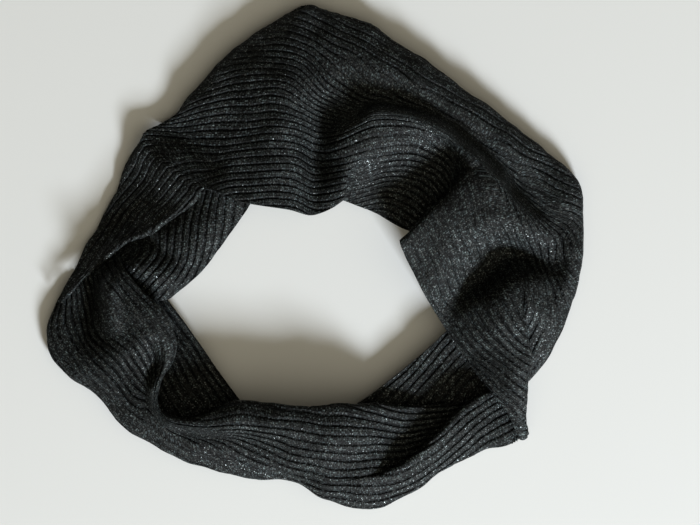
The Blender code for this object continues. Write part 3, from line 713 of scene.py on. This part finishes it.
@dataclass
class Nodes:
    """A node tree with short ways to add to it. An input takes a value or another's socket."""

    tree: Tree

    def add(
        self, kind: str, inputs: dict[int | str, object] | None = None, **settings: object
    ) -> bpy.types.Node:
        """A new shader node of a kind, with its inputs and settings."""
        node = self.tree.nodes.new(f"ShaderNode{kind}")
        for key, value in settings.items():
            setattr(node, key, value)
        for key, value in (inputs or {}).items():
            self.feed(node.inputs[key], value)
        return node

    def feed(self, target: Socket, value: object) -> None:
        """Gives an input a value, or joins it to a socket."""
        if isinstance(value, Socket):
            self.tree.links.new(value, target)
        else:
            target.default_value = value

    def math(self, operation: str, first: object, second: object = 0.0) -> Socket:
        """Result of a Math node."""
        return self.add("Math", {0: first, 1: second}, operation=operation).outputs[0]

    def zigzag(self, value: object) -> Socket:
        """A value that rises from 0 to 1 and falls again, once in each whole step."""
        return self.math("MULTIPLY", self.math("PINGPONG", value, 0.5), 2.0)

    def blend(self, first: object, second: object, weights: Pair) -> Socket:
        """Sum of two values, each times its weight."""
        weighed = [self.math("MULTIPLY", *pair) for pair in zip((first, second), weights)]
        return self.math("ADD", *weighed)

    def mix(self, share: object, first: object, second: object) -> Socket:
        """A mix of two colours."""
        node = self.add("Mix", {0: share}, data_type="RGBA")
        colours = [socket for socket in node.inputs if socket.type == "RGBA"]
        for socket, value in zip(colours, (first, second)):
            self.feed(socket, value)
        return next(socket for socket in node.outputs if socket.type == "RGBA")

    def vector(
        self, operation: str, first: object, second: object = (0.0, 0.0, 0.0)
    ) -> Socket:
        """Result of a Vector Math node."""
        inputs = {0: first, "Scale" if operation == "SCALE" else 1: second}
        node = self.add("VectorMath", inputs, operation=operation)
        return node.outputs["Value" if operation == "DOT_PRODUCT" else "Vector"]

    def ramp(
        self, value: object, low: object, high: object, to_low: object = 0.0, to_high: object = 1.0
    ) -> Socket:
        """A value carried smoothly from one range to another."""
        inputs = dict(enumerate((value, low, high, to_low, to_high)))
        return self.add("MapRange", inputs, interpolation_type="SMOOTHSTEP").outputs[0]

    def noise(self, place: Socket, scale: float) -> Socket:
        """Noise at a place, from 0 to 1."""
        return self.add("TexNoise", {"Vector": place, "Scale": scale}).outputs["Fac"]

    def cells(
        self, place: Socket, size: Socket, **settings: object
    ) -> tuple[bpy.types.Node, bpy.types.Node]:
        """Cells of this size, with a node that splits their random colours."""
        inputs = {"Vector": place, "Scale": self.math("DIVIDE", 1.0, size)}
        node = self.add("TexVoronoi", inputs, **settings)
        return node, self.add("SeparateColor", {0: node.outputs["Color"]})

    def give(self, outputs: dict[str, Socket]) -> Tree:
        """The tree as a finished group, with these sockets as its outputs."""
        for label, source in outputs.items():
            kind = "NodeSocketVector" if source.type == "VECTOR" else "NodeSocketFloat"
            self.tree.interface.new_socket(label, in_out="OUTPUT", socket_type=kind)
        node = self.tree.nodes.new("NodeGroupOutput")
        for label, source in outputs.items():
            self.feed(node.inputs[label], source)
        return self.tree


def new_group(name: str, inputs: dict[str, float]) -> tuple[Nodes, dict[str, Socket]]:
    """A shader group with inputs.

    Args:
        name: Its name.
        inputs: Names of its number inputs, with their usual values.

    Returns:
        Its nodes, and its input sockets by name.
    """
    nodes = Nodes(bpy.data.node_groups.new(name, "ShaderNodeTree"))
    for label, value in inputs.items():
        socket = nodes.tree.interface.new_socket(
            label, in_out="INPUT", socket_type="NodeSocketFloat"
        )
        socket.default_value = value
    return nodes, dict(nodes.tree.nodes.new("NodeGroupInput").outputs.items())


@dataclass(frozen=True)
class Stitches:
    """The knit's relief: grooves between ribs, columns of stitches on them, and uneven yarn, with
    masks for the finish's painted shade and painted highlight.
    """

    height: float = 0.0011  # of one stitch, in metres
    lean: float = 1.1  # slope of a stitch's legs
    loop_and_leg: Pair = (0.45, 0.55)  # weights in a stitch
    stitch_and_yarn: Pair = (0.4, 0.6)  # weights in the relief
    yarn_scale: float = 900.0
    groove_depth: float = 1.6  # in the height of a stitch's relief
    groove_scale: float = 420.0
    # from a groove's middle to its side: how deep it sinks and how much painted shade it gets
    groove_ramp: Ramp = (0.0, 0.42, 1.0, 0.0)
    # noise to how deep a groove sinks and how dark its painted shade is along it
    uneven_ramp: Ramp = (0.35, 0.62, 0.2, 1.0)
    # where the ribs' backs get the painted highlight
    back_ramp: Ramp = (0.45, 1.0)
    loop_size: float = 0.00125  # in metres
    loop_spread: float = 0.55
    # painted light at each loop's middle, falling to painted shade at its edge
    loop_shade_ramp: Ramp = (0.1, 0.55, 1.8, 0.0)
    bright_power: float = 4.0  # the higher, the fewer loops are bright
    bright_gain: float = 5.5
    dull_tone: float = 0.5

    def group(self) -> Tree:
        """The relief as a shader group."""
        nodes, sockets = new_group(
            "KnitStitches",
            {
                "Rib Pitch": RIB_PITCH * MM,
                "Stitch Width": RIB_PITCH / 2 * MM,
                "Stitch Height": self.height,
                "Loop Size": self.loop_size,
            },
        )
        place = nodes.add("UVMap", uv_map="Cloth").outputs["UV"]
        across, along, _ = nodes.add("SeparateXYZ", {0: place}).outputs
        ribs = nodes.math("DIVIDE", across, sockets["Rib Pitch"])
        from_groove = nodes.zigzag(nodes.math("FRACT", ribs))
        shown = nodes.add("Attribute", attribute_name="Ribbing").outputs["Fac"]
        spot = nodes.add("TexCoord").outputs["Object"]
        uneven = nodes.ramp(nodes.noise(spot, self.groove_scale), *self.uneven_ramp)
        sunk = nodes.math("MULTIPLY", nodes.ramp(from_groove, *self.groove_ramp), uneven)
        # the grooves, which set both the relief's sinking and the material's painted shade
        groove = nodes.math("MULTIPLY", sunk, shown)
        wale = nodes.math("DIVIDE", across, sockets["Stitch Width"])
        lean = nodes.math("MULTIPLY", nodes.math("PINGPONG", wale, 0.5), self.lean)
        course = nodes.math("ADD", nodes.math("DIVIDE", along, sockets["Stitch Height"]), lean)
        stitch = nodes.blend(nodes.zigzag(course), nodes.zigzag(wale), self.loop_and_leg)
        yarn = nodes.noise(spot, self.yarn_scale)
        height = nodes.blend(stitch, yarn, self.stitch_and_yarn)
        sinking = nodes.math("MULTIPLY", groove, self.groove_depth)
        cells, chance = nodes.cells(place, sockets["Loop Size"], voronoi_dimensions="2D")
        cells.inputs["Randomness"].default_value = self.loop_spread
        bright = nodes.math("POWER", chance.outputs[0], self.bright_power)
        bright = nodes.math("MULTIPLY", bright, self.bright_gain)
        # painted shade towards each loop's edge
        loop_shading = nodes.ramp(cells.outputs["Distance"], *self.loop_shade_ramp)
        return nodes.give(
            {
                "Height": nodes.math("SUBTRACT", height, sinking),
                "Groove": groove,
                "Rib Back": nodes.ramp(from_groove, *self.back_ramp),
                # random tone of each loop, times its painted shading
                "Tone": nodes.math("MULTIPLY", nodes.math("ADD", bright, self.dull_tone), loop_shading),
            }
        )


@dataclass(frozen=True)
class GlitterThread:
    """Short lit lengths of glitter thread, scattered over the knit."""

    spacing: float = 0.0011  # in metres
    share: float = 0.7  # of the places where it shows
    size: Pair = (0.6, 0.1)  # where a fleck fades out and where it is full
    tilt: float = 0.8
    tone_power: float = 3.0

    def group(self) -> Tree:
        """The glitter as a shader group."""
        faint, full = self.size
        nodes, sockets = new_group(
            "GlitterThread",
            {"Spacing": self.spacing, "Share": self.share, "Size": faint, "Tilt": self.tilt},
        )
        spot = nodes.add("TexCoord").outputs["Object"]
        cells, chance = nodes.cells(spot, sockets["Spacing"])
        lit = nodes.math("LESS_THAN", chance.outputs[0], sockets["Share"])
        near = nodes.ramp(cells.outputs["Distance"], sockets["Size"], full)
        fleck = nodes.math("MULTIPLY", lit, near)
        centred = nodes.vector("SUBTRACT", cells.outputs["Color"], (0.5, 0.5, 0.5))
        tilt = nodes.math("MULTIPLY", fleck, sockets["Tilt"])
        return nodes.give(
            {
                "Fleck": fleck,
                "Tone": nodes.math("POWER", chance.outputs[1], self.tone_power),
                "Facet": nodes.vector("SCALE", centred, tilt),
            }
        )


@dataclass(frozen=True)
class RibKnit:
    """The finish of the knit, with painted shade in its grooves and a painted highlight on its
    ribs' backs.
    """

    yarn: Colour = (0.0056, 0.0073, 0.0077, 1.0)
    rib_back_highlight: Colour = (0.0125, 0.0156, 0.0155, 1.0)  # painted highlight on the ribs' backs, where they catch the light
    # painted shade in the grooves between ribs
    groove: Colour = (0.0016, 0.0021, 0.0026, 1.0)
    fleck: Colour = (0.21, 0.228, 0.231, 1.0)  # of the glitter thread
    clear: Ramp = (0.0, 0.8, 1.0, 0.3)  # share of the glitter that shows, down into a groove
    lit_at: float = 0.5  # how lit a fleck is where it looks most like metal
    metal: float = 0.9
    roughness: Pair = (0.6, 0.28)  # of the yarn and of the glitter thread
    specular: float = 0.12
    relief: float = 0.0007  # height of its stitches, in metres
    patch_scale: float = 45.0
    patch_ramp: Ramp = (0.3, 0.7, 0.78, 1.1)  # slow change of tone over the cloth

    def material(self, name: str, knit: Tree, glitter: Tree) -> bpy.types.Material:
        """The finish as a material.

        Args:
            name: The material's name.
            knit: The group that gives the knit's relief.
            glitter: The group that gives the glitter thread.

        Returns:
            The material.
        """
        made = bpy.data.materials.new(name)
        made.use_nodes = True
        nodes = Nodes(made.node_tree)
        stitches = nodes.add("Group", node_tree=knit).outputs
        thread = nodes.add("Group", node_tree=glitter).outputs
        spot = nodes.add("TexCoord").outputs["Object"]
        patches = nodes.ramp(nodes.noise(spot, self.patch_scale), *self.patch_ramp)
        # painted highlight on the ribs' backs
        highlighted_backs = nodes.mix(stitches["Rib Back"], self.yarn, self.rib_back_highlight)
        # painted shade in the grooves, over the yarn with its painted highlight
        painted_yarn_colour = nodes.mix(stitches["Groove"], highlighted_backs, self.groove)
        # random tone of the loops and patches, with the painted shade at each loop's edge
        tone_and_loop_shade = nodes.math("MULTIPLY", patches, stitches["Tone"])
        glow = nodes.math("MULTIPLY", thread["Fleck"], thread["Tone"])
        lit = nodes.math("MULTIPLY", glow, nodes.ramp(stitches["Groove"], *self.clear))
        bump = nodes.add("Bump", {"Distance": self.relief, "Height": stitches["Height"]})
        turned = nodes.vector("ADD", bump.outputs["Normal"], thread["Facet"])
        looks = {
            "Base Color": nodes.mix(lit, nodes.vector("SCALE", painted_yarn_colour, tone_and_loop_shade), self.fleck),
            "Roughness": nodes.ramp(lit, 0.0, self.lit_at, *self.roughness),
            "Metallic": nodes.ramp(lit, 0.0, self.lit_at, 0.0, self.metal),
            "Specular IOR Level": self.specular,
            "Normal": nodes.vector("NORMALIZE", turned),
        }
        for label, value in looks.items():
            nodes.feed(made.node_tree.nodes["Principled BSDF"].inputs[label], value)
        return made


def upper_band() -> tuple[Stretch, ...]:
    """The flap, the top and the right side: one sheet, shown in three stretches."""
    flap = Loft.through(FLAP_ROWS, before=3)
    top = Loft.through(TOP_ROWS, TOP_FOLDS)
    turned = Loft.through([row._replace(ribs=FLAP_END_RIBS) for row in TOP_ROWS[:3]], TOP_FOLDS)
    outer = flap + top + Loft.through(BULGE_ROWS, after=2)
    inner = flap + top + Loft.through(TAIL_ROWS, before=3)
    fold_row = len(FLAP_ROWS) + 1
    apex = len(FLAP_ROWS) + len(TOP_ROWS) - 1
    outer_turns = (0.3, 0.8) + (1,) * (outer.last_row - fold_row - 1) + (0.6,)
    right_turns = (0,) * (apex - fold_row + 1) + (0.6, 1, 1, 1, 0.3)
    return (
        Stretch(
            "top_outer", outer, (fold_row - 1, outer.last_row), (0, 3),
            low=Roll(*OUTER_ROLL, outer_turns), seams=("high",),
        ),
        Stretch(
            "top_inner", inner, (fold_row, inner.last_row), (3, 5),
            low=Roll(*RIGHT_ROLL, right_turns), seams=("start", "low"),
        ),
        Stretch(
            "left_flap", flap + turned, (0, fold_row), (3, 5),
            low=Roll(*OUTER_ROLL, (0, 0, 0.2, 0.6, 1, 0.8, 0, 0)),
            high=Roll(*FLAP_ROLL, (0, 0.4, 0.8, 1, 1, 1, 0.7, 0)), seams=("end",),
        ),
    )


def lower_band() -> tuple[Stretch, ...]:
    """The lower left and the bottom: one sheet, shown in two stretches."""
    common = Loft.through(LOWER_ROWS, LOWER_FOLDS)
    outer = common + Loft.through(CORNER_ROWS, after=3)
    inner = common + Loft.through(VALLEY_ROWS, before=2)
    outer_turns = (0, 0.6) + (1,) * (outer.last_row - 3) + (0.6, 0)
    corner_turns = (0,) * len(LOWER_ROWS) + (0.5, 1, 1, 0.5, 0)
    inner_turns = (0, 0.6) + (1,) * (inner.last_row - 3) + (0.5, 0)
    return (
        Stretch(
            "lower_outer", outer, (0, outer.last_row), (0, 2), low=Roll(*OUTER_ROLL, outer_turns),
            high=Roll(*CORNER_ROLL, corner_turns), seams=("high",), depth=DEEP_GROOVE,
        ),
        Stretch(
            "lower_inner", inner, (0, inner.last_row), (2, 5),
            high=Roll(*INNER_ROLL, inner_turns), seams=("low",), depth=DEEP_GROOVE,
        ),
    )


def lower_layers() -> tuple[Stretch, ...]:
    """The three layers that show beneath the others, beside the opening."""
    return tuple(
        Stretch(
            stem, Loft.through(rows, folds), (0, len(rows) - 1), (0, len(rows[0].ribs) - 1),
            depth=DEEP_GROOVE, held=Held.LAID,
        )
        for stem, rows, folds in (
            ("left_inner", LAYER_ROWS, LAYER_FOLDS),
            ("under_left", UNDER_LEFT_ROWS, ()),
            ("under_right", UNDER_RIGHT_ROWS, ()),
        )
    )


@dataclass
class HiddenLayers:
    """The folded layers beneath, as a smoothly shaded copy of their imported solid."""

    node: str = "hidden_layers"
    merge_distance: float = 0.01
    crease_angle: float = 35.0
    mean_radius: float = 120  # of the ring

    def build(self, packed: bpy.types.Object) -> bpy.types.Object:
        """The copy, shaded smoothly and with the knit's UV map.

        Args:
            packed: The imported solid.

        Returns:
            The piece.
        """
        bpy.ops.object.select_all(action="DESELECT")
        piece = packed.copy()
        piece.data = packed.data.copy()
        piece.parent = None
        for key in list(piece.keys()):
            del piece[key]
        piece.name = "hidden_layers_knit"
        bpy.context.scene.collection.objects.link(piece)
        piece.select_set(True)
        bpy.context.view_layer.objects.active = piece
        bpy.ops.object.mode_set(mode="EDIT")
        bpy.ops.mesh.select_all(action="SELECT")
        bpy.ops.mesh.remove_doubles(threshold=self.merge_distance * MM)
        bpy.ops.mesh.tris_convert_to_quads()
        bpy.ops.object.mode_set(mode="OBJECT")
        bpy.ops.object.shade_smooth_by_angle(angle=math.radians(self.crease_angle))
        self.lay_uv(piece)
        return piece

    def lay_uv(self, piece: bpy.types.Object) -> None:
        """Runs the knit round the ring: U outwards from its middle and V round it, in metres."""
        cloth = piece.data.uv_layers.new(name="Cloth").data
        corners = [piece.data.vertices[loop.vertex_index].co for loop in piece.data.loops]
        for corner, place in zip(corners, cloth):
            outwards = math.hypot(corner.x, corner.y)
            place.uv = (outwards, math.atan2(corner.y, corner.x) * self.mean_radius * MM)
        shown = piece.data.attributes.new("Ribbing", "FLOAT", "POINT")
        shown.data.foreach_set("value", [1.0] * len(piece.data.vertices))


@dataclass
class Studio:
    """The pale sheet that the scarf lies on, the light, the room and the camera, in metres."""

    floor_size: float = 6.0
    floor_drop: float = 0.0002  # how far it lies under the scarf
    middle: Pair = (0.0245, -0.00315)
    camera_height: float = 4.0
    camera_reach: float = 100
    view_width: float = 0.49
    floor_colour: Colour = (0.60, 0.605, 0.60, 1.0)
    floor_roughness: float = 0.95
    window: Point = (1.73, -3.24, 1.67)
    window_size: float = 0.9
    window_power: float = 366
    window_colour: Point = (0.88, 0.94, 1.0)
    room_side: Point = (0.40, -0.75, 0.53)  # where most of the room's light comes from
    room_light: Ramp = (-0.1, 1.0, 0.01, 0.88)  # from facing away from that side to facing it
    room_colour: Colour = (1.0, 0.91, 0.70, 1.0)

    def floor(self) -> None:
        """A matt sheet, just under the scarf."""
        bpy.ops.object.select_all(action="DESELECT")
        bpy.ops.mesh.primitive_plane_add(size=self.floor_size, location=(0, 0, -self.floor_drop))
        sheet = bpy.context.object
        sheet.name = "pale_sheet"
        matt = bpy.data.materials.new("pale_sheet")
        matt.use_nodes = True
        shader = matt.node_tree.nodes["Principled BSDF"]
        shader.inputs["Base Color"].default_value = self.floor_colour
        shader.inputs["Roughness"].default_value = self.floor_roughness
        sheet.data.materials.append(matt)

    def light(self) -> None:
        """One soft window light, aimed at the scarf."""
        lamp = bpy.data.lights.new("window", "AREA")
        lamp.size = self.window_size
        lamp.energy = self.window_power
        lamp.color = self.window_colour
        made = bpy.data.objects.new("window", lamp)
        made.location = self.window
        made.rotation_euler = (-Vector(self.window)).to_track_quat("-Z", "Y").to_euler()
        bpy.context.scene.collection.objects.link(made)

    def camera(self) -> None:
        """A far camera, straight over the scarf."""
        data = bpy.data.cameras.new("camera")
        data.lens = data.sensor_width * self.camera_height / self.view_width
        data.clip_end = self.camera_reach
        made = bpy.data.objects.new("camera", data)
        made.location = (*self.middle, self.camera_height)
        bpy.context.scene.collection.objects.link(made)
        bpy.context.scene.camera = made

    def room(self) -> None:
        """Warm light, most of it from one side and little from behind."""
        world = bpy.data.worlds.new("room")
        world.use_nodes = True
        nodes = Nodes(world.node_tree)
        sky = world.node_tree.nodes["Background"]
        direction = nodes.add("TexCoord").outputs["Generated"]
        facing = nodes.vector("DOT_PRODUCT", direction, self.room_side)
        nodes.feed(sky.inputs["Strength"], nodes.ramp(facing, *self.room_light))
        nodes.feed(sky.inputs["Color"], self.room_colour)
        bpy.context.scene.world = world

    def build(self) -> None:
        """Floor, light, camera and room."""
        self.floor()
        self.light()
        self.camera()
        self.room()
        bpy.context.scene.view_settings.view_transform = "Standard"


def declare(stretch: Stretch, piece: bpy.types.Object) -> None:
    """Sets a stretch's piece to ride on the root, hides the solid that it stands for, and logs its
    cut size.
    """
    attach(piece, "root")
    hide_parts(stretch.node)
    LOG.info(
        "%s: %d faces, cut %.0f x %.0f mm", piece.name, len(piece.data.polygons),
        stretch.flat[0] / MM, stretch.flat[1] / MM,
    )


def main() -> None:
    """Builds the scarf, then its sheet, light and camera."""
    logging.basicConfig(level=logging.INFO)
    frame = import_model()
    knit, glitter = Stitches().group(), GlitterThread().group()
    finish = RibKnit()
    for stretch in (*upper_band(), *lower_band(), *lower_layers()):
        piece = stretch.build()
        piece.data.materials.append(finish.material(stretch.name, knit, glitter))
        declare(stretch, piece)
    layers = HiddenLayers()
    beneath = layers.build(frame["nodes"][layers.node])
    beneath.data.materials.clear()
    beneath.data.materials.append(finish.material(beneath.name, knit, glitter))
    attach(beneath, "root")
    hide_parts(layers.node)
    Studio().build()


if __name__ == "__main__":
    main()
